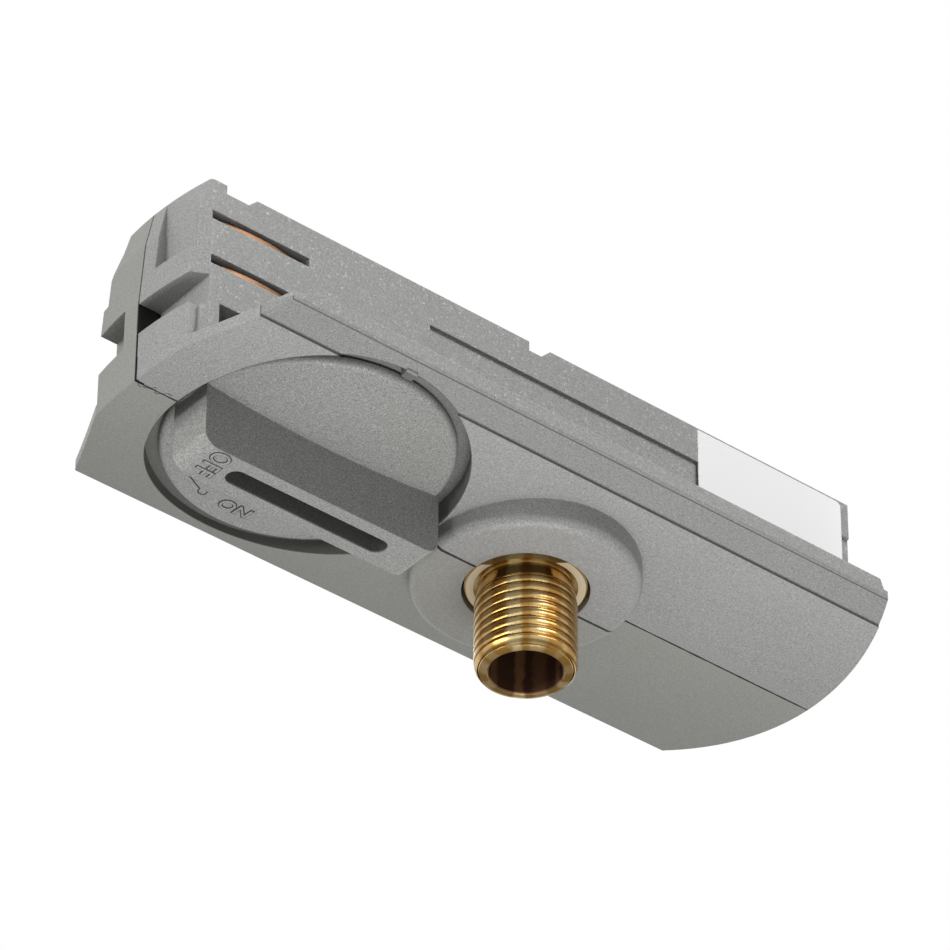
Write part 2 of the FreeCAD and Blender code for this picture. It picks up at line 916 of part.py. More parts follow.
def detent_spring():
    """Leaf on the far wall whose hump drops into the rotor's dents."""
    back = S.far_low - S.far_wall - S.spring_back_gap
    front = back - S.spring_thick
    hump = front - S.spring_hump
    corners = [
        (KNOB_X - S.spring_half, back),
        (KNOB_X - S.spring_half, front),
        (KNOB_X - 1.2, front),
        (KNOB_X - 0.5, hump),
        (KNOB_X + 0.5, hump),
        (KNOB_X + 1.2, front),
        (KNOB_X + S.spring_half, front),
        (KNOB_X + S.spring_half, back),
        (KNOB_X + 1.1, back),
        (KNOB_X + 0.5, hump + S.spring_thick),
        (KNOB_X - 0.5, hump + S.spring_thick),
        (KNOB_X - 1.1, back),
    ]
    low = S.rotor_low + 0.4
    spring = prism("detent_leaf", "z", corners, low, S.rotor_top - 0.2)
    finish(spring, "detent_spring")


def blade(name, label, side, low):
    """Flat copper blade: a bowed front edge, an ear in the slot and a narrower root."""
    if side == "near":
        front = -S.box_near + S.blade_inset
        way = -1
        base = 0
    else:
        front = S.far_low - S.blade_inset
        way = 1
        base = 2 * KNOB_X
    ear = front - way * S.blade_ear
    root = -way * S.blade_root
    if side == "near":
        tip, end, neck = -S.blade_left, -S.blade_right, -S.blade_neck
    else:
        tip, end, neck = base + S.blade_left, base + S.blade_right, base + S.blade_neck
    outline = prism(
        name + "_plate", "z",
        [(tip, front), (tip, ear), (neck, ear), (neck, root), (end, root), (end, front)],
        low, low + S.blade_thick,
    )
    middle = (tip + end) / 2
    bow = rod(
        name + "_bow", S.blade_bow, middle, front - way * S.blade_bow, low - 1, S.blade_thick + 2
    )
    finish(common(name + "_bowed", outline, bow), label)


def blade_low(slot_low, slot_top):
    return (slot_low + slot_top) / 2 - S.blade_thick / 2


def blade_seat(name, side, low):
    """Slot in a carriage that holds the root of a blade."""
    way = -1 if side == "near" else 1
    base = 0 if side == "near" else 2 * KNOB_X
    far_x = base + way * (S.blade_neck + 5)
    near_x = base + way * (S.blade_right - S.blade_fit)
    left, right = (far_x, near_x) if side == "near" else (near_x, far_x)
    inner = -way * (S.blade_root + S.blade_fit)
    outer = way * (S.block_front + 5)
    y0, y1 = (outer, inner) if side == "near" else (inner, outer)
    return block(
        name, left, right, y0, y1, low - S.blade_fit, low + S.blade_thick + S.blade_fit
    )


def fork_cut(name, side):
    """Open slot in which the crank pin drives a carriage."""
    way = -1 if side == "near" else 1
    centre = -way * S.crank
    half = S.crank_pin + S.fork_play
    deep = KNOB_X + way * (S.crank * 1.4143 + S.crank_pin + S.fork_play + 0.1)
    x0, x1 = (deep, KNOB_X + 0.5) if side == "near" else (KNOB_X - 0.5, deep)
    return block(name, x0, x1, centre - half, centre + half, S.shelf_top, S.shelf_top + 5)


def contact_carriage():
    low = S.shelf_top + S.slide_gap
    body = block(
        "carriage_body", -S.block_left, -S.block_right, -S.block_front, S.block_back,
        low, S.block_top,
    )
    half = S.crank_pin + S.fork_play + S.fork_wall
    arm = block(
        "carriage_arm", -S.block_right - 0.5, KNOB_X - S.fork_split,
        S.crank - half, S.crank + half, low, low + S.fork_thick,
    )
    solid = fuse("carriage_solid", body, arm)
    live = blade_seat("live_seat", "near", blade_low(S.live_slot_low, S.live_slot_top))
    neutral = blade_seat(
        "neutral_seat", "near", blade_low(S.neutral_slot_low, S.neutral_slot_top)
    )
    finish(
        cut("carriage", solid, live, neutral, fork_cut("carriage_fork", "near")),
        "contact_carriage",
    )


def earth_carriage():
    low = S.shelf_top + S.slide_gap
    turned = 2 * KNOB_X
    body = block(
        "earth_body", turned + S.block_right, turned + S.block_left,
        -S.block_back, S.earth_block_far, low, S.earth_block_top,
    )
    half = S.crank_pin + S.fork_play + S.fork_wall
    arm = block(
        "earth_arm", KNOB_X + S.fork_split, turned + S.block_right + 0.5,
        -S.crank - half, -S.crank + half, low, low + S.fork_thick,
    )
    solid = fuse("earth_solid", body, arm)
    seat = blade_seat("earth_seat", "far", blade_low(S.neutral_slot_low, S.neutral_slot_top))
    finish(cut("earth", solid, seat, fork_cut("earth_fork", "far")), "earth_carriage")


def cord_nipple():
    """Hollow brass nipple: threaded shank, flange with two flats, upper thread."""
    shank = rod(
        "nipple_shank", S.thread_radius, 0, 0, -S.nipple_tip + S.nipple_chamfer,
        S.nipple_tip - S.nipple_chamfer - S.undercut_low,
    )
    tip = cone(
        "nipple_tip_cone", S.thread_radius - S.nipple_chamfer, S.thread_radius,
        0, 0, -S.nipple_tip, S.nipple_chamfer,
    )
    neck = rod(
        "nipple_neck", S.undercut_radius, 0, 0, -S.undercut_low,
        S.undercut_low - S.flange_low,
    )
    flange_top = S.shoulder_low - S.seat_gap
    flange = rod("nipple_flange", S.flange_radius, 0, 0, -S.flange_low, flange_top + S.flange_low)
    flats = block(
        "nipple_flats", -S.flange_radius, S.flange_radius, -S.flange_flat, S.flange_flat,
        -S.flange_low, flange_top,
    )
    flange = common("nipple_flange_flat", flange, flats)
    upper = rod(
        "nipple_upper", S.thread_radius - S.nipple_fit, 0, 0, flange_top, S.nipple_top - flange_top
    )
    solid = fuse("nipple_solid", shank, tip, neck, flange, upper)
    bore = rod(
        "nipple_bore_cut", S.nipple_bore, 0, 0, -S.nipple_tip - 1, S.nipple_tip + S.nipple_top + 2
    )
    finish(cut("nipple", solid, bore), "cord_nipple")


def nipple_nut():
    half = S.nut_width / 2
    corner = half * 1.1547
    low = S.shoulder_top + S.seat_gap
    hexagon = prism(
        "nut_hexagon", "z",
        [
            (-corner, 0), (-corner / 2, -half), (corner / 2, -half),
            (corner, 0), (corner / 2, half), (-corner / 2, half),
        ],
        low, low + S.nut_thick,
    )
    hole = rod("nut_hole", S.thread_radius, 0, 0, low - 1, S.nut_thick + 2)
    finish(cut("nut", hexagon, hole), "nipple_nut")


TERMINALS = ("live", "neutral", "earth")


def terminal_x(number):
    return S.block_start + S.terminal_wall + S.terminal_pitch * number + S.terminal_wide / 2


def terminal_front():
    return -S.box_near + S.wall + S.seat_gap + S.terminal_wall


def terminal_block():
    near = -S.box_near + S.wall + S.seat_gap
    low = S.terminal_low - S.terminal_wall
    top = S.terminal_low + S.terminal_tall + S.terminal_wall
    far = terminal_front() + S.terminal_deep
    body = block("terminal_body", S.block_start, terminal_block_end(), near, far, low, top)
    cuts = []
    half = S.terminal_wide / 2 + S.terminal_fit
    for number, name in enumerate(TERMINALS):
        x = terminal_x(number)
        cuts.append(
            block(
                name + "_pocket", x - half, x + half, terminal_front() - S.terminal_fit, far + 1,
                S.terminal_low - S.terminal_fit, S.terminal_low + S.terminal_tall + S.terminal_fit,
            )
        )
        cuts.append(
            rod(
                name + "_entry", S.wire_hole + 0.2, x, terminal_front() + S.terminal_deep / 2,
                low - 1, S.terminal_wall + 2,
            )
        )
    finish(cut("terminal_holder", body, *cuts), "terminal_block")


def terminals():
    front = terminal_front()
    far = front + S.terminal_deep
    for number, name in enumerate(TERMINALS):
        x = terminal_x(number)
        cage = block(
            name + "_cage", x - S.terminal_wide / 2, x + S.terminal_wide / 2, front, far,
            S.terminal_low, S.terminal_low + S.terminal_tall,
        )
        middle_z = S.terminal_low + S.terminal_tall / 2
        wire = rod(
            name + "_wire_hole", S.wire_hole, x, front + S.terminal_deep / 2,
            S.terminal_low - 1, S.terminal_tall + 2,
        )
        tapped = rod(
            name + "_screw_hole", S.screw_radius + S.terminal_fit, x,
            front + S.terminal_deep / 2, middle_z, S.terminal_deep, "y",
        )
        finish(cut(name + "_drilled", cage, wire, tapped), name + "_terminal")
        seat = far + S.screw_recess
        tip = front + S.terminal_deep / 2 + S.wire_hole
        shank = rod(name + "_screw_shank", S.screw_radius, x, tip, middle_z, seat - tip + 0.1, "y")
        head = rod(name + "_screw_head", S.screw_head, x, seat, middle_z, S.screw_head_tall, "y")
        finish(fuse(name + "_screw_solid", shank, head), name + "_terminal_screw")


def housing_screws():
    """Two screws from the far side, in one node."""
    screws = []
    tip = -S.box_near + S.joint_tip_gap + 0.3
    for name, x, z, outer in joint_places():
        seat = outer - S.joint_sink - S.joint_head_tall
        shank = rod("joint_shank_" + name, S.joint_screw, x, tip, z, seat - tip + 0.1, "y")
        head = rod(
            "joint_head_" + name, S.joint_head, x, seat + 0.02, z, S.joint_head_tall, "y"
        )
        screws.append(fuse("joint_screw_" + name, shank, head))
    finish(fuse("joint_screws", *screws), "housing_screws")


def label():
    plate = block(
        "label_plate", S.label_left, S.label_right, -S.box_near - S.label_thick, -S.box_near,
        S.label_low, S.label_top,
    )
    right = S.label_right.value
    top = S.label_top.value
    plate = rounded(
        "label_rounded", plate, S.label_corner,
        lambda point: abs(point.x - right) < 0.01 and abs(point.z - top) < 0.01,
    )
    finish(plate, "label")


def check_document():
    for item in doc.Objects:
        if "Invalid" in item.State or "Error" in item.State:
            raise RuntimeError("%s failed: %s" % (item.Name, item.State))
    for item in NODES:
        if item.Shape.isNull() or not item.Shape.isValid():
            raise RuntimeError("%s has no valid shape" % item.Label)


def write_steps():
    os.makedirs("parts", exist_ok=True)
    for item in NODES:
        item.Shape.exportStep("parts/%s.step" % item.Label)
        box = item.Shape.BoundBox
        print(
            "%-24s solids %d  volume %9.2f  x %.2f %.2f  y %.2f %.2f  z %.2f %.2f"
            % (
                item.Label, len(item.Shape.Solids), item.Shape.Volume,
                box.XMin, box.XMax, box.YMin, box.YMax, box.ZMin, box.ZMax,
            )
        )


housing_halves()
lock_knob()
stem_clip()
lock_wings()
cam_rotor()
detent_spring()
blade("live_blade", "live_contact", "near", blade_low(S.live_slot_low, S.live_slot_top))
blade("neutral_blade", "neutral_contact", "near", blade_low(S.neutral_slot_low, S.neutral_slot_top))
blade("earth_blade", "earth_contact", "far", blade_low(S.neutral_slot_low, S.neutral_slot_top))
contact_carriage()
earth_carriage()
cord_nipple()
nipple_nut()
terminal_block()
terminals()
housing_screws()
label()
doc.recompute()
check_document()
write_steps()
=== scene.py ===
# %% [markdown]
# # A track light adapter, seen from below
# The part is a long plastic box that clips into a lighting track, with a crowned
# cover, a knob that turns to lock it, and a brass nipple for the lamp. The solid
# model already has every rigid form. This lesson gives those forms their finishes,
# and models what is too fine for the solid model: the nipple's thread and the
# marks on the knob.

# %% Load the solid model as a fixed frame
import math
import bpy
from mathutils import Matrix, Vector


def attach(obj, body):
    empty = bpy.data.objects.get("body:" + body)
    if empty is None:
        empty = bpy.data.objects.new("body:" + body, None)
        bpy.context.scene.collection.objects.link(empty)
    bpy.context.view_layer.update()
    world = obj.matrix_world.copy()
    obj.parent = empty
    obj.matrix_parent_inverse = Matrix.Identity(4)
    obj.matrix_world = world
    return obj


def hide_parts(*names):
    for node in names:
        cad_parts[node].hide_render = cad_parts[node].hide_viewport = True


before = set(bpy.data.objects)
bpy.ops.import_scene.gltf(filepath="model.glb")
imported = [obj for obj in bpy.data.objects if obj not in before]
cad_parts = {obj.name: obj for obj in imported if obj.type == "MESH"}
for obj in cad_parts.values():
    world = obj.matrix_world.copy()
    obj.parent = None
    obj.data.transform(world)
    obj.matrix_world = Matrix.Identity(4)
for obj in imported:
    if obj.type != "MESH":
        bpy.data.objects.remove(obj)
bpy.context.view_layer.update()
bpy.ops.object.select_all(action="DESELECT")
MM = 0.001

# %% [markdown]
# ## The camera
# The adapter hangs under its track, so the camera looks up at it from the near
# left. The lens is long, which keeps the box's long edges almost parallel. A camera
# could be aimed with a tracking constraint, but then its roll is lost, so its three
# axes are worked out from azimuth, elevation and roll. The lens length follows from
# a 36 mm sensor that is 950 pixels wide.

# %% Camera
AZIMUTH = math.radians(-39.374)
ELEVATION = math.radians(-36.83)
ROLL = math.radians(0.274)
CAMERA_AT = Vector((-300.83, -358.81, -338.99)) * MM
SENSOR_WIDTH = 36
PICTURE_WIDTH = 950
LENS_IN_PIXELS = 6000


def stand(right, up, outward, at):
    """Matrix that points an object's X, Y and Z along three directions."""
    return Matrix((
        (right.x, up.x, outward.x, at.x),
        (right.y, up.y, outward.y, at.y),
        (right.z, up.z, outward.z, at.z),
        (0, 0, 0, 1),
    ))


back = Vector((
    math.sin(AZIMUTH) * math.cos(ELEVATION),
    -math.cos(AZIMUTH) * math.cos(ELEVATION),
    math.sin(ELEVATION),
))
level_right = Vector((math.cos(AZIMUTH), math.sin(AZIMUTH), 0))
level_up = back.cross(level_right)
right = level_right * math.cos(ROLL) + level_up * math.sin(ROLL)
up = level_up * math.cos(ROLL) - level_right * math.sin(ROLL)

bpy.ops.object.camera_add(location=CAMERA_AT)
camera = bpy.context.object
camera.matrix_world = stand(right, up, back, CAMERA_AT)
camera.data.sensor_width = SENSOR_WIDTH
camera.data.lens = LENS_IN_PIXELS / PICTURE_WIDTH * SENSOR_WIDTH
camera.data.clip_start = 0.01
camera.data.clip_end = 20
bpy.context.scene.camera = camera
bpy.context.scene.view_settings.view_transform = "Standard"
print("camera is", round(CAMERA_AT.length, 3), "m from the nipple")

# %% [markdown]
# ## Maths on sockets
# A finish is a small program of nodes. It could be wired node by node, which is long
# and hard to read. Written as plain expressions it stays readable, so one class
# wraps a socket, and adding or multiplying two of them adds the Math node that does
# it. Every other node comes from one method.


# %% A small shader language
class Wire:
    """One output socket of a material's node tree."""

    def __init__(self, tree, socket):
        self.tree = tree
        self.socket = socket

    def math(self, operation, first, second):
        return self.tree.node("ShaderNodeMath", {"operation": operation}, first, second)

    def __add__(self, other):
        return self.math("ADD", self, other)

    def __radd__(self, other):
        return self.math("ADD", other, self)

    def __sub__(self, other):
        return self.math("SUBTRACT", self, other)

    def __rsub__(self, other):
        return self.math("SUBTRACT", other, self)

    def __mul__(self, other):
        return self.math("MULTIPLY", self, other)

    def __rmul__(self, other):
        return self.math("MULTIPLY", other, self)

    def __truediv__(self, other):
        return self.math("DIVIDE", self, other)

    def __lt__(self, other):
        return self.math("LESS_THAN", self, other)

    def __gt__(self, other):
        return self.math("GREATER_THAN", self, other)

    def size(self):
        return self.math("ABSOLUTE", self, 0)

    def power(self, exponent):
        return self.math("POWER", self, exponent)

    def at_least(self, limit):
        return self.math("MAXIMUM", self, limit)

    def angle_over(self, other):
        return self.math("ARCTAN2", self, other)

    def between(self, low, high):
        return (self > low) * (self < high)

    def clamped(self):
        return self.tree.node("ShaderNodeClamp", {}, self)


class Finish:
    """A material whose nodes are added one call at a time."""

    def __init__(self, name):
        self.material = bpy.data.materials.new(name)
        self.material.use_nodes = True
        self.nodes = self.material.node_tree.nodes
        self.links = self.material.node_tree.links
        self.surface = self.nodes["Principled BSDF"]

    def set(self, socket, value):
        if isinstance(value, Wire):
            self.links.new(value.socket, socket)
        elif socket.type == "RGBA" and len(value) == 3:
            socket.default_value = (*value, 1)
        else:
            socket.default_value = value

    def node(self, kind, settings, *values, output=0, **named):
        made = self.nodes.new(kind)
        for name, value in settings.items():
            setattr(made, name, value)
        for number, value in enumerate(values):
            self.set(made.inputs[number], value)
        for name, value in named.items():
            self.set(made.inputs[name.replace("_", " ")], value)
        return Wire(self, made.outputs[output])

    def place(self):
        return self.node("ShaderNodeTexCoord", {}, output="Object")

    def axes(self):
        parts = self.nodes.new("ShaderNodeSeparateXYZ")
        self.links.new(self.place().socket, parts.inputs[0])
        return [Wire(self, parts.outputs[axis]) for axis in range(3)]

    def mix(self, factor, first, second):
        made = self.nodes.new("ShaderNodeMix")
        made.data_type = "RGBA"
        self.set(made.inputs["Factor"], factor)
        self.set(made.inputs[6], first)
        self.set(made.inputs[7], second)
        return Wire(self, made.outputs[2])

    def paint(self, **values):
        for name, value in values.items():
            self.set(self.surface.inputs[name.replace("_", " ")], value)

    def bump(self, height, strength, distance, under=None):
        values = {"Height": height, "Strength": strength, "Distance": distance}
        if under:
            values["Normal"] = under
        self.paint(Normal=self.node("ShaderNodeBump", {}, **values))


def noise(finish, per_mm, detail):
    """Cloudy noise in space, with so many waves to a millimetre."""
    return finish.node(
        "ShaderNodeTexNoise", {}, Vector=finish.place(), Scale=per_mm / MM, Detail=detail,
    )


def line_noise(finish, along, per_mm, detail):
    """Noise that changes along one length only."""
    return finish.node(
        "ShaderNodeTexNoise", {"noise_dimensions": "1D"}, W=along, Scale=per_mm / MM,
        Detail=detail,
    )


print("shader helpers ready")

# %% [markdown]
# ## Silver grey moulding
# The housing and the knob are moulded in grey plastic with very fine metal flakes.
# A flake is a fifth of a millimetre or less, a little brighter or darker than the
# grey round it, and it tilts the surface slightly. A picture of such grain would
# stretch over the long box, so the grain is made of noise in space: two noises of
# different size give the grain, a cell pattern gives the single bright flakes, and a
# slow noise is the uneven flow of the flakes. Moulded edges are never sharp, so a
# Bevel node rounds them in the shading by less than a fifth of a millimetre. Where
# its normal leaves that of the face there is an edge, and there the grey is painted
# lighter, a painted highlight. The crowned cover is painted a little darker towards
# its far side, which is painted shade.

# %% Flake plastic
FLAKES_PER_MM = 5.5
GRAIN_PER_MM = 6.0
FINE_PER_MM = 11.0
FLOW_PER_MM = 0.07
FLAKE_RARITY = 14.0
FLAKE_LIGHT, FLAKE_METAL, FLAKE_GLOSS = 0.30, 0.35, 0.14
GRAIN_LIGHT, FINE_LIGHT, FLOW_LIGHT = 1.1, 1.2, 0.12
GRAIN_DEPTH = 0.03 * MM
EDGE_ROUNDING = 0.18 * MM
EDGE_CONTRAST = 5.0
EDGE_HIGHLIGHT = 0.50
FAR_SHADE_FROM = -13.0 * MM


def edge_of(finish, rounded):
    """1 on the rounded edges and 0 on the faces between them."""
    plain = finish.node("ShaderNodeNewGeometry", {}, output="Normal")
    agree = finish.node(
        "ShaderNodeVectorMath", {"operation": "DOT_PRODUCT"}, rounded, plain, output="Value",
    )
    return ((1 - agree) * EDGE_CONTRAST).clamped()


def flake_plastic(name, grey, sparkle, roughness, warm, far_side_shade, shades):
    """Grey with flakes. Each of the shades darkens it by the share that it returns."""
    finish = Finish(name)
    cells = finish.node(
        "ShaderNodeTexVoronoi", {"feature": "F1"}, Vector=finish.place(),
        Scale=FLAKES_PER_MM / MM, output="Color",
    )
    flake = finish.node("ShaderNodeSeparateColor", {}, cells, output="Red")
    bright = flake.power(FLAKE_RARITY)
    grain = noise(finish, GRAIN_PER_MM, 2)
    fine = noise(finish, FINE_PER_MM, 1)
    slow = noise(finish, FLOW_PER_MM, 2)
    rounded = finish.node("ShaderNodeBevel", {"samples": 4}, Radius=EDGE_ROUNDING)
    # Painted highlight: the edge term makes the grey lighter along the rounded edges.
    tone = (
        1
        + edge_of(finish, rounded) * EDGE_HIGHLIGHT
        + (slow - 0.5) * FLOW_LIGHT
        + (grain - 0.5) * (GRAIN_LIGHT * sparkle)
        + (fine - 0.5) * (FINE_LIGHT * sparkle)
        + bright * (FLAKE_LIGHT * sparkle)
    )
    x, y, z = finish.axes()
    # Painted shade: the cover is painted darker towards its far side.
    across = y.at_least(FAR_SHADE_FROM) / MM
    level = tone * grey * (1 - across * far_side_shade)
    for shade in shades:
        level = level * (1 - shade(finish))
    colour = finish.node(
        "ShaderNodeCombineColor", {}, level * (1 + 0.25 * warm), level * (1 + 0.2 * warm),
        level * (1 - warm),
    )
    finish.paint(
        Base_Color=colour,
        Metallic=bright * (FLAKE_METAL * sparkle),
        Roughness=roughness + (flake - 0.5) * FLAKE_GLOSS,
        Specular_IOR_Level=0.3,
    )
    relief = grain * 0.6 + fine * 0.5 + bright * 0.3
    finish.bump(relief, 0.26 * sparkle, GRAIN_DEPTH, rounded)
    return finish.material


print("flake plastic ready")

# %% [markdown]
# ## The line between the halves
# The housing is two mouldings that meet on the middle plane. The joint shows as a
# thin dark line, a little wider in some places than in others. The near half also
# has a shallow step along its edge: the shadow under the step and the shade in its
# corner are painted as dark lines. At the left end the moulding has a ragged little
# line of flash. Lines this thin would need a very fine mesh, so they are stripes of
# darker grey: a stripe is all that lies closer to a plane than its half width.

# %% Seam lines and painted shadows of the step
STEP_Y = -13.74 * MM
CORNER_Y = -16.72 * MM
STEP_TOP = 2.6 * MM
BOSS_REACH = 11.8 * MM
SEAM_HALF, SEAM_WANDER, SEAM_DARK = 0.045 * MM, 0.12 * MM, 0.93
STEP_HALF, CORNER_HALF, STEP_SHADOW_DARK = 0.07 * MM, 0.075 * MM, 0.55
FLASH_END_X = -43.0 * MM
FLASH_HALF, FLASH_SPREAD, FLASH_DARK = 0.06 * MM, 2.4 * MM, 0.8


def stripe(distance, half_width):
    return distance.size() < half_width


def seam_and_shadow_lines(finish):
    x, y, z = finish.axes()
    wander = line_noise(finish, x, 0.35, 2)
    boss = x.size() < BOSS_REACH
    seam_half = wander * SEAM_WANDER + SEAM_HALF + boss * SEAM_HALF
    seam = stripe(y, seam_half) * SEAM_DARK
    below = z < STEP_TOP
    # The step and corner stripes are painted shadow and shade; the seam and the flash are
    # the moulding's own.
    step = stripe(y - STEP_Y, STEP_HALF) * below * STEP_SHADOW_DARK
    corner_shade = stripe(y - CORNER_Y, CORNER_HALF) * below * STEP_SHADOW_DARK
    crumble = (line_noise(finish, x, 0.75, 3) - 0.5) * FLASH_SPREAD
    flash = stripe(y - crumble, FLASH_HALF) * (x < FLASH_END_X) * below * FLASH_DARK
    return seam + step + corner_shade + flash


print("lines of the halves ready")

# %% [markdown]
# ## Where little light comes
# The knob sits in a round pocket, and its grip bar has a long slot. Both are deep
# and narrow, and they are darker than soft lamps alone would show, so shade is
# painted in them: a darker grey inside a ring or a box in space, which needs no
# extra faces. The narrow band beside the step gets a little painted shade too.

# %% Shades of the pocket, the step and the slot
KNOB_X = -26.75 * MM
POCKET_RADIUS = 15.47 * MM
POCKET_LOW, POCKET_HIGH = 0.35 * MM, 3.75 * MM
SLOT_X = -26.7 * MM
SLOT_HALF_LONG, SLOT_HALF_WIDE = 9.6 * MM, 1.2 * MM
SLOT_LOW, SLOT_HIGH = -5.3 * MM, -1.0 * MM
# Shares of painted shade in the pocket, the band and the slot.
POCKET_DARK, BAND_DARK, SLOT_DARK = 0.42, 0.15, 0.55


def pocket_shade(finish):
    x, y, z = finish.axes()
    away = ((x - KNOB_X) * (x - KNOB_X) + y * y).power(0.5)
    return (away < POCKET_RADIUS) * z.between(POCKET_LOW, POCKET_HIGH) * POCKET_DARK


def near_shade(finish):
    x, y, z = finish.axes()
    return (y < STEP_Y) * (z < STEP_TOP) * BAND_DARK + pocket_shade(finish)


def slot_shade(finish):
    x, y, z = finish.axes()
    inside = (y.size() < SLOT_HALF_WIDE) * ((x - SLOT_X).size() < SLOT_HALF_LONG)
    return inside * z.between(SLOT_LOW, SLOT_HIGH) * SLOT_DARK


NEAR_HALF = flake_plastic(
    "silver_near_half", grey=0.272, sparkle=0.85, roughness=0.43, warm=0.015, far_side_shade=0.016,
    shades=(near_shade, seam_and_shadow_lines),
)
# The far half's grey is a little darker than the near half's, partly its own tone and partly
# painted shade; its warmer tint is its own.
FAR_HALF = flake_plastic(
    "silver_far_half", grey=0.255, sparkle=0.55, roughness=0.46, warm=0.06, far_side_shade=0.014,
    shades=(pocket_shade, seam_and_shadow_lines),
)
KNOB = flake_plastic(
    "silver_knob", grey=0.275, sparkle=1.15, roughness=0.42, warm=0.03, far_side_shade=0.004,
    shades=(slot_shade,),
)
print("two halves and the knob have their finish")

# %% [markdown]
# ## Turned brass
# The nipple is turned from brass bar. Its crests are bright, painted shade darkens
# the roots of the thread and the bore to brown, and the faces of the collar are paler
# because they were faced last and left rough. The rest of the collar is painted
# paler, a painted highlight. One brass for all of it would look new and flat, so
# distance from the axis and height tell these places apart, and bright streaks
# along the axis are painted reflections. All of it is worked out from place, so the
# mesh needs no unwrapping.

# %% Painted reflections along the shank
REFLECTION_STREAKS = (
    (-53, 10, 1.0), (-25, 11, 0.55), (43, 12, 0.4), (80, 8, 0.8), (118, 14, 0.5),
    (150, 9, 0.9), (-160, 12, 0.5), (-118, 15, 0.55), (-88, 8, 0.3), (8, 7, 0.25),
)
REFLECTION_CORE = 1.15


def reflection_streaks(angle):
    """Painted reflections: bright streaks, each with its angle, half width and strength."""
    total = 0
    for centre, half, strength in REFLECTION_STREAKS:
        away = (angle - math.radians(centre)) / math.radians(half)
        total = (REFLECTION_CORE - away * away).clamped() * strength + total
    return total.clamped()


print("streaks:", len(REFLECTION_STREAKS))

# %% Brass of the nipple and its nut
LIT_BRASS, DEEP_BRASS = (1.0, 0.82, 0.44), (0.43, 0.24, 0.065)
BROWN_SPECK = (0.28, 0.15, 0.04)
ROOT_SHADE = (0.14, 0.07, 0.02)
FACED_PALE, FACED_DULL = (0.84, 0.72, 0.52), (0.60, 0.49, 0.31)
COLLAR_LIT, COLLAR_DEEP = (1.0, 0.84, 0.50), (0.62, 0.38, 0.12)
BORE_LIT, BORE_DARK = (0.42, 0.21, 0.09), (0.09, 0.042, 0.024)

THREAD_LOW, THREAD_HIGH = -11.3 * MM, -3.7 * MM
ROOT_REACH = 4.86 * MM
FACE_LOW, FACE_HIGH = -2.0 * MM, -1.90 * MM
FACE_INNER, FACE_OUTER = 5.06 * MM, 5.80 * MM
COLLAR_LOW = -1.93 * MM
COLLAR_INNER = 4.5 * MM
BORE_REACH = 3.66 * MM


def turned_brass(name):
    finish = Finish(name)
    x, y, z = finish.axes()
    radius = (x * x + y * y).power(0.5)
    angle = x.angle_over(y * -1.0)
    blotch = noise(finish, 0.9, 3)
    speck = noise(finish, 5.0, 2)
    # The streaks are painted reflections on the brass.
    painted_reflection = reflection_streaks(angle + (blotch - 0.5) * 0.25) * (0.65 + blotch * 0.35)
    # Painted shade: the roots of the thread are painted darker brown.
    root = (radius < ROOT_REACH) * z.between(THREAD_LOW, THREAD_HIGH)
    faced = radius.between(FACE_INNER, FACE_OUTER) * z.between(FACE_LOW, FACE_HIGH)
    rings = line_noise(finish, radius, 8.0, 2)
    collar = (z > COLLAR_LOW) * (radius > COLLAR_INNER)
    # Painted shade: the bore is painted dark brown, with painted reflections from the
    # streaks.
    bore = radius < BORE_REACH
    colour = finish.mix(painted_reflection, DEEP_BRASS, LIT_BRASS)
    colour = finish.mix(speck * 0.45, colour, BROWN_SPECK)
    colour = finish.mix(root * 0.5, colour, ROOT_SHADE)
    colour = finish.mix(faced, colour, finish.mix(rings, FACED_PALE, FACED_DULL))
    # Painted highlight: the collar is painted paler and streaked with painted reflections.
    colour = finish.mix(collar * 0.8, colour, finish.mix(painted_reflection, COLLAR_DEEP, COLLAR_LIT))
    colour = finish.mix(bore, colour, finish.mix(painted_reflection * 0.9, BORE_DARK, BORE_LIT))
    finish.paint(
        Base_Color=colour,
        Metallic=1.0 - bore * 0.5 - faced * 0.55 - collar * 0.5,
        Roughness=0.22 + (blotch - 0.5) * 0.16 + faced * 0.25 + bore * 0.2 + collar * 0.2,
    )
    tooling = line_noise(finish, z + radius, 7.0, 3)
    finish.bump(tooling, 0.4, 0.012 * MM)
    return finish.material


BRASS = turned_brass("turned_brass")
print("brass ready")

# %% [markdown]
# ## Drawn strip and plated steel
# The terminals, the contact blades, the screws, the clip and the lock wings are
# small metal pieces, mostly hidden. Strip is drawn through rollers, so its grain is
# long: a noise stretched along X gives it, and a slow noise mixes clean and dull
# metal. The steel is zinc plated and matt, so that its edges don't flash.


# %% Strip, blades and screws
def drawn_metal(name, clean, dull, roughness):
    finish = Finish(name)
    stretched = finish.node("ShaderNodeMapping", {}, finish.place(), Scale=(0.05, 1, 1))
    grain = finish.node(
        "ShaderNodeTexNoise", {}, Vector=stretched, Scale=9.0 / MM, Detail=2,
    )
    blotch = noise(finish, 0.4, 3)
    finish.paint(
        Base_Color=finish.mix(blotch, clean, dull),
        Metallic=1.0,
        Roughness=roughness + (grain - 0.5) * 0.2,
    )
    finish.bump(grain, 0.2, 0.01 * MM)
    return finish.material


TERMINAL = drawn_metal("terminal_brass", (0.74, 0.52, 0.22), (0.60, 0.42, 0.18), 0.35)
COPPER = drawn_metal("contact_copper", (0.30, 0.16, 0.085), (0.08, 0.04, 0.02), 0.40)
STEEL = drawn_metal("plated_steel", (0.38, 0.38, 0.39), (0.26, 0.26, 0.27), 0.58)
print("strip metals made")

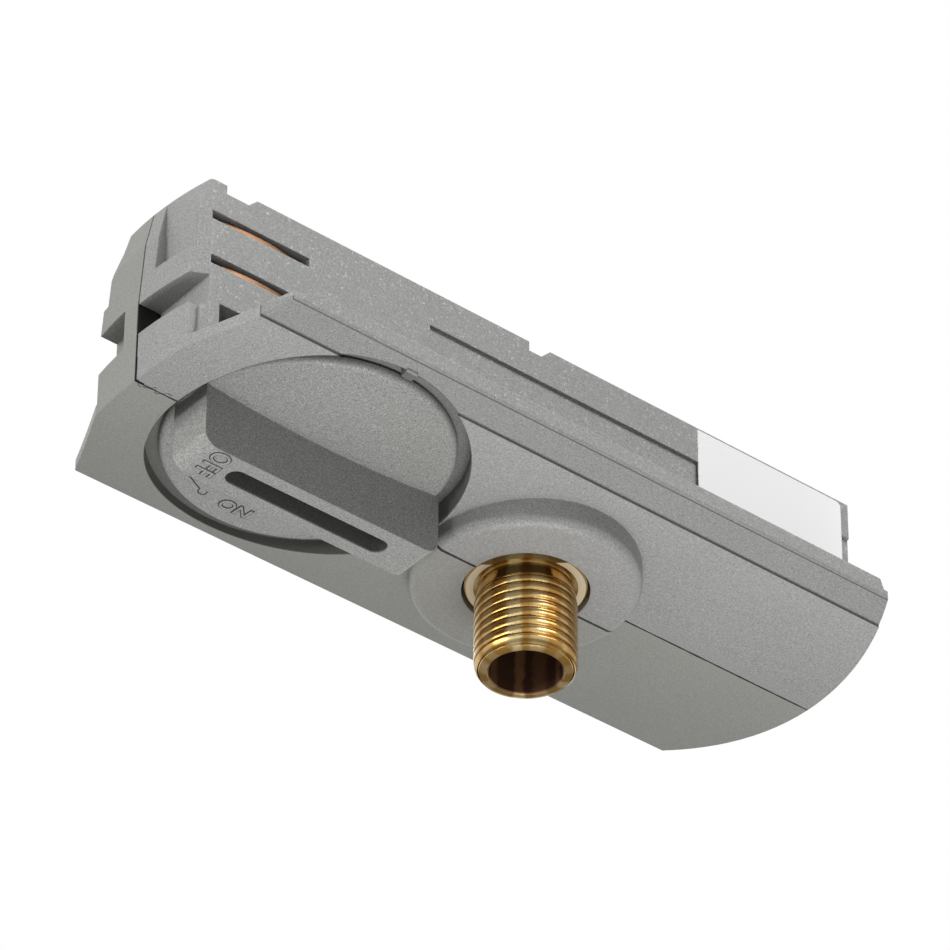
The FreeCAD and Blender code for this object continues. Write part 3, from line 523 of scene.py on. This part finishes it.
# %% [markdown]
# ## Inner moulding and label film
# The carriages, the rotor and the terminal block are plain pale plastic, and the
# label is plain white film. Neither has flakes, so one simple finish serves both:
# two close tones mixed by a slow noise, and a faint fine bump.


# %% Plain plastic
def plain_plastic(name, light, dark, roughness):
    finish = Finish(name)
    slow = noise(finish, 0.3, 3)
    grain = noise(finish, 12.0, 2)
    finish.paint(
        Base_Color=finish.mix(slow, light, dark),
        Roughness=roughness + (grain - 0.5) * 0.1,
    )
    finish.bump(grain, 0.15, 0.01 * MM)
    return finish.material


INNER = plain_plastic("inner_moulding", (0.62, 0.60, 0.55), (0.56, 0.54, 0.49), 0.5)
FILM = plain_plastic("label_film", (0.98, 0.98, 0.98), (0.96, 0.96, 0.96), 0.4)
print("inner plastic and film made")

# %% [markdown]
# ## Dressing the solid pieces
# Each piece of the solid model wears one finish. A table from finish to pieces is
# shorter than a call for each piece, and the meshes themselves stay as they are.

# %% Give every node its finish
WEARERS = (
    (NEAR_HALF, ("housing_near",)),
    (FAR_HALF, ("housing_far",)),
    (KNOB, ("lock_knob",)),
    (BRASS, ("cord_nipple", "nipple_nut")),
    (COPPER, ("live_contact", "neutral_contact", "earth_contact")),
    (TERMINAL, ("live_terminal", "neutral_terminal", "earth_terminal")),
    (STEEL, ("live_terminal_screw", "neutral_terminal_screw", "earth_terminal_screw")),
    (STEEL, ("housing_screws", "detent_spring", "stem_clip", "lock_wings")),
    (INNER, ("cam_rotor", "contact_carriage", "earth_carriage", "terminal_block")),
    (FILM, ("label",)),
)
for material, names in WEARERS:
    for name in names:
        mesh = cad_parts[name].data
        mesh.materials.clear()
        mesh.materials.append(material)
print("finishes on", sum(len(names) for material, names in WEARERS), "nodes")

# %% [markdown]
# ## Drawing a profile
# Turned parts start as a line of points in the XZ plane: a plane is merged to one
# point, moved to its place and extruded from point to point, as by hand. Spun round
# the axis, the line becomes a turned part. A cylinder with loops would do for a
# plain rod, but not for steps and chamfers. Doubles are merged and normals are
# turned outward after that, because a spin can leave the shape inside out.

# %% Profile and lathe helpers
DOUBLES = 1e-6
ROUND_STEPS = 96
FULL_TURN = 2 * math.pi


def tidy_mesh():
    bpy.ops.mesh.select_all(action="SELECT")
    bpy.ops.mesh.remove_doubles(threshold=DOUBLES)
    bpy.ops.mesh.normals_make_consistent(inside=False)


def draw_line(name, points):
    bpy.ops.object.select_all(action="DESELECT")
    bpy.ops.mesh.primitive_plane_add(size=MM)
    piece = bpy.context.object
    piece.name = name
    bpy.ops.object.mode_set(mode="EDIT")
    bpy.ops.mesh.merge(type="CENTER")
    bpy.ops.transform.translate(value=Vector(points[0]) * MM)
    for here, there in zip(points, points[1:]):
        step = (Vector(there) - Vector(here)) * MM
        bpy.ops.mesh.extrude_region_move(TRANSFORM_OT_translate={"value": step})
    bpy.ops.mesh.select_all(action="SELECT")
    bpy.ops.mesh.remove_doubles(threshold=DOUBLES)
    bpy.ops.object.mode_set(mode="OBJECT")
    return piece


def lathe(name, outline):
    piece = draw_line(name, [(x, 0, z) for x, z in outline + outline[:1]])
    bpy.ops.object.mode_set(mode="EDIT")
    bpy.ops.mesh.select_all(action="SELECT")
    bpy.ops.mesh.spin(
        steps=ROUND_STEPS, angle=FULL_TURN, center=(0, 0, 0), axis=(0, 0, 1),
    )
    tidy_mesh()
    bpy.ops.object.mode_set(mode="OBJECT")
    return piece


def apply_modifier(piece, kind, **settings):
    bpy.context.view_layer.objects.active = piece
    modifier = piece.modifiers.new("shape", kind)
    for key, value in settings.items():
        setattr(modifier, key, value)
    bpy.ops.object.modifier_apply(modifier=modifier.name)


def join_as(name, *pieces):
    bpy.ops.object.select_all(action="DESELECT")
    for piece in pieces:
        piece.select_set(True)
    bpy.context.view_layer.objects.active = pieces[0]
    bpy.ops.object.join()
    pieces[0].name = name
    bpy.ops.object.transform_apply(location=True, rotation=True, scale=True)
    return pieces[0]


print("profile helpers ready")

# %% [markdown]
# ## The nipple's thread
# The thread is a real helix of one millimetre pitch. A stack of rings would look
# much the same from afar, but the lines of a thread climb. The ridge between two
# grooves is a closed profile that a Screw modifier winds up the shank. Its ends are
# filled, and a Boolean keeps only what lies inside the blunted envelope of the tip,
# so that the thread runs out on the tip's rounding as a die leaves it.

# %% Thread ridge
PITCH = 1.0
RIDGE_TURNS = 11
RIDGE_START = -13.3
RIDGE_PROFILE = (
    (4.66, 0.04), (4.79, 0.08), (4.95, 0.17), (4.99, 0.25), (5.00, 0.50),
    (4.99, 0.75), (4.95, 0.83), (4.79, 0.92), (4.66, 0.96), (4.66, 0.04),
)
TIP_ENVELOPE = [
    (0, -11.84), (4.20, -11.84), (4.55, -11.72), (4.82, -11.44), (4.96, -11.05),
    (5.10, -10.6), (5.40, -10.2), (5.40, -5.2), (5.02, -4.3), (4.74, -2.85), (0, -2.85),
]
ridge = draw_line("thread_ridge", [(x, 0, RIDGE_START + z) for x, z in RIDGE_PROFILE])
apply_modifier(
    ridge, "SCREW", axis="Z", angle=FULL_TURN, screw_offset=PITCH * MM,
    iterations=RIDGE_TURNS, steps=ROUND_STEPS, render_steps=ROUND_STEPS,
    use_smooth_shade=False,
)
bpy.ops.object.mode_set(mode="EDIT")
bpy.ops.mesh.select_all(action="SELECT")
bpy.ops.mesh.fill_holes(sides=0)
tidy_mesh()
bpy.ops.object.mode_set(mode="OBJECT")
envelope = lathe("tip_envelope", TIP_ENVELOPE)
apply_modifier(ridge, "BOOLEAN", operation="INTERSECT", object=envelope, solver="EXACT")
bpy.data.objects.remove(envelope)
print("thread ridge faces:", len(ridge.data.polygons))

# %% [markdown]
# ## Shank and collar
# Under the ridge lies a plain hollow shank whose outside is the root of the thread.
# The collar above it has two wrench flats, which a lathe can't leave. So it is
# turned on its own and cut by two planes, and only its two round ends stand out past
# the shank. The three pieces are joined, and they take the place of the plain
# nipple of the solid model.

# %% Shank, collar and the finished nipple
SHANK_OUTLINE = [
    (3.56, -11.68), (3.72, -11.84), (4.15, -11.84), (4.50, -11.72), (4.66, -11.45),
    (4.79, -11.00), (4.79, -3.70), (4.66, -2.80), (4.62, -2.15), (4.72, -2.0),
    (5.02, -1.95), (5.02, 1.10), (4.95, 5.40), (4.75, 5.60), (3.56, 5.60),
]
COLLAR_OUTLINE = [
    (4.40, -1.95), (5.80, -1.95), (5.95, -1.80), (5.95, 1.10), (4.40, 1.10),
]
FLAT_TURN = math.radians(48)
FLAT_REACH = 4.05 * MM
SMOOTH_BELOW = math.radians(28)

shank = lathe("nipple_shank", SHANK_OUTLINE)
collar = lathe("nipple_collar", COLLAR_OUTLINE)
bpy.ops.object.mode_set(mode="EDIT")
for side in (-1, 1):
    normal = Vector((side * math.cos(FLAT_TURN), side * math.sin(FLAT_TURN), 0))
    bpy.ops.mesh.select_all(action="SELECT")
    bpy.ops.mesh.bisect(
        plane_co=normal * FLAT_REACH, plane_no=normal, use_fill=True, clear_outer=True,
    )
tidy_mesh()
bpy.ops.object.mode_set(mode="OBJECT")
nipple = join_as("threaded_nipple", shank, collar, ridge)
nipple.data.materials.clear()
nipple.data.materials.append(BRASS)
bpy.ops.object.shade_smooth_by_angle(angle=SMOOTH_BELOW)
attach(nipple, "housing")
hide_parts("cord_nipple")
print("nipple triangles:", sum(len(face.vertices) - 2 for face in nipple.data.polygons))

# %% [markdown]
# ## Marks on the knob
# OFF stands on the bar's lower face and ON on the disc, both raised a tenth of a
# millimetre and read from below. Letters could be a bump, but then they have no
# edge that catches light. Each word is a text object that is made a mesh, and it
# lies on a slightly larger, thinner and darker copy, which is a painted shadow
# round the letters. The disc is a shallow dome, so ON tilts with it.

# %% Words
DISC_DOME = 234.0
ON_TILT = 2 * 11.0 / DISC_DOME
# The dark finish of the outlines and the arrow is painted shadow.
SHADOW_FINISH = plain_plastic("painted_shadow_outline", (0.045, 0.045, 0.044), (0.03, 0.03, 0.03), 0.6)
WORDS = {
    "word_off": {
        "text": "OFF", "size": 2.85, "squeeze": 0.80, "place": (-38.12, -0.38, -5.50),
        "right": (0, 1, 0), "up": (1, 0, 0),
    },
    "word_on": {
        "text": "ON", "size": 2.25, "squeeze": 0.98, "place": (-26.90, 11.15, 1.17),
        "right": (1, 0, 0), "up": (0, -1, -ON_TILT),
    },
}
# end of the name, height, how much wider its strokes are, and finish
LAYERS = (("", 0.10, -0.005, KNOB), ("_outline", 0.03, 0.12, SHADOW_FINISH))


def word(name, rise, spread, text, size, squeeze, place, right, up):
    bpy.ops.object.select_all(action="DESELECT")
    bpy.ops.object.text_add()
    piece = bpy.context.object
    piece.name = name
    data = piece.data
    data.body = text
    data.size = size * MM
    data.align_x = "CENTER"
    data.align_y = "CENTER"
    data.extrude = rise * MM
    data.offset = spread * MM
    data.resolution_u = 6
    bpy.ops.object.convert(target="MESH")
    piece = bpy.context.object
    right, up = Vector(right), Vector(up)
    outward = right.cross(up).normalized()
    piece.matrix_world = stand(right * squeeze, up, outward, Vector(place) * MM)
    bpy.ops.object.transform_apply(location=True, rotation=True, scale=True)
    bpy.ops.object.mode_set(mode="EDIT")
    tidy_mesh()
    bpy.ops.object.mode_set(mode="OBJECT")
    return piece


for name, layout in WORDS.items():
    for ending, rise, spread, material in LAYERS:
        piece = word(name + ending, rise, spread, **layout)
        piece.data.materials.append(material)
        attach(piece, "knob")
print("words raised on the knob:", list(WORDS))

# %% [markdown]
# ## The arrow
# A thin raised line with a hooked head curves past the bar toward ON. Its dark
# grey is painted shade. It could be joined to the disc with a Boolean, but the
# disc's own mesh stays as it is. So the line is drawn from point to point on the
# dome, turned into a curve with a round section, and made a mesh again, half sunk
# in the disc.

# %% Arrow
DISC_LOWEST = 0.65
SHAFT_PATH = ((-35.1, 8.7), (-34.0, 9.35), (-32.9, 9.97), (-32.1, 10.4), (-31.35, 10.75))
HOOK_PATH = (
    (-31.35, 10.75), (-31.25, 11.15), (-31.02, 11.42), (-30.7, 11.42),
    (-30.42, 11.22), (-30.42, 10.9), (-30.52, 10.62),
)


def on_disc(x, y):
    out = (x - KNOB_X / MM) ** 2 + y ** 2
    return (x, y, DISC_LOWEST + out / DISC_DOME)


def raised_line(name, path, radius):
    draw_line(name, [on_disc(x, y) for x, y in path])
    bpy.ops.object.convert(target="CURVE")
    line = bpy.context.object
    line.data.bevel_depth = radius * MM
    line.data.bevel_resolution = 2
    line.data.use_fill_caps = True
    bpy.ops.object.convert(target="MESH")
    line = bpy.context.object
    bpy.ops.object.mode_set(mode="EDIT")
    tidy_mesh()
    bpy.ops.object.mode_set(mode="OBJECT")
    return line


shaft = raised_line("arrow_shaft", SHAFT_PATH, 0.075)
hook = raised_line("arrow_hook", HOOK_PATH, 0.07)
arrow = join_as("turn_arrow", shaft, hook)
arrow.data.materials.clear()
# The arrow's dark grey is painted shade.
arrow.data.materials.append(SHADOW_FINISH)
bpy.ops.object.shade_smooth_by_angle(angle=math.radians(40))
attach(arrow, "knob")
print("arrow laid on the disc")

# %% [markdown]
# ## Floor, room and light
# The part hangs in the air under its track, so the floor is far below it. A room
# that lights as brightly as it looks would wash out the greys. So the room is white
# to the camera and to reflections, and dimmer as a lamp. Four soft lamps give the
# forms their direction: one at the left end, one over the near side, one below
# that lights the cover, and a weak one on the far side, so that the back isn't dark.

# %% Floor and room
ROOM_LIGHT = 0.22
WHITE = 1.0
FLOOR_LEVEL = -0.8
FLOOR_SIZE = 6


def pale_surface(name):
    finish = Finish(name)
    finish.paint(Base_Color=(0.93, 0.93, 0.93), Roughness=0.9)
    return finish.material


bpy.ops.mesh.primitive_plane_add(size=FLOOR_SIZE, location=(0, 0, FLOOR_LEVEL))
floor = bpy.context.object
floor.name = "floor"
floor.data.materials.append(pale_surface("pale_floor"))

world = bpy.data.worlds.new("room")
bpy.context.scene.world = world
world.use_nodes = True
nodes = world.node_tree.nodes
links = world.node_tree.links


def either(first, second):
    """1 where one of two kinds of ray arrives, and 0 elsewhere."""
    made = nodes.new("ShaderNodeMath")
    made.operation = "MAXIMUM"
    links.new(first, made.inputs[0])
    links.new(second, made.inputs[1])
    return made.outputs[0]


ray = nodes.new("ShaderNodeLightPath").outputs
direct = either(ray["Is Camera Ray"], ray["Is Transmission Ray"])
seen = either(direct, ray["Is Glossy Ray"])
strength = nodes.new("ShaderNodeMapRange")
links.new(seen, strength.inputs["Value"])
strength.inputs["To Min"].default_value = ROOM_LIGHT
strength.inputs["To Max"].default_value = WHITE
room = nodes["Background"]
room.inputs["Color"].default_value = (1, 1, 1, 1)
links.new(strength.outputs["Result"], room.inputs["Strength"])
print("floor and room set")

# %% Lamps
# name, place in metres, width of the square and watts
LAMPS = (
    ("left_lamp", (-0.82, 0.04, 0.04), 0.40, 5.0),
    ("near_lamp", (0.10, -0.60, 0.60), 0.50, 5.6),
    ("under_lamp", (0.02, -0.11, -0.77), 0.45, 4.0),
    ("far_lamp", (0.45, 0.52, 0.62), 0.60, 2.2),
)


def soft_lamp(name, place, size, watts):
    """A square lamp that faces the nipple."""
    bpy.ops.object.light_add(type="AREA", location=place)
    lamp = bpy.context.object
    lamp.name = name
    lamp.data.shape = "SQUARE"
    lamp.data.size = size
    lamp.data.energy = watts
    toward = -Vector(place)
    lamp.rotation_euler = toward.to_track_quat("-Z", "Y").to_euler()


for lamp in LAMPS:
    soft_lamp(*lamp)
print("lamps set:", len(LAMPS))
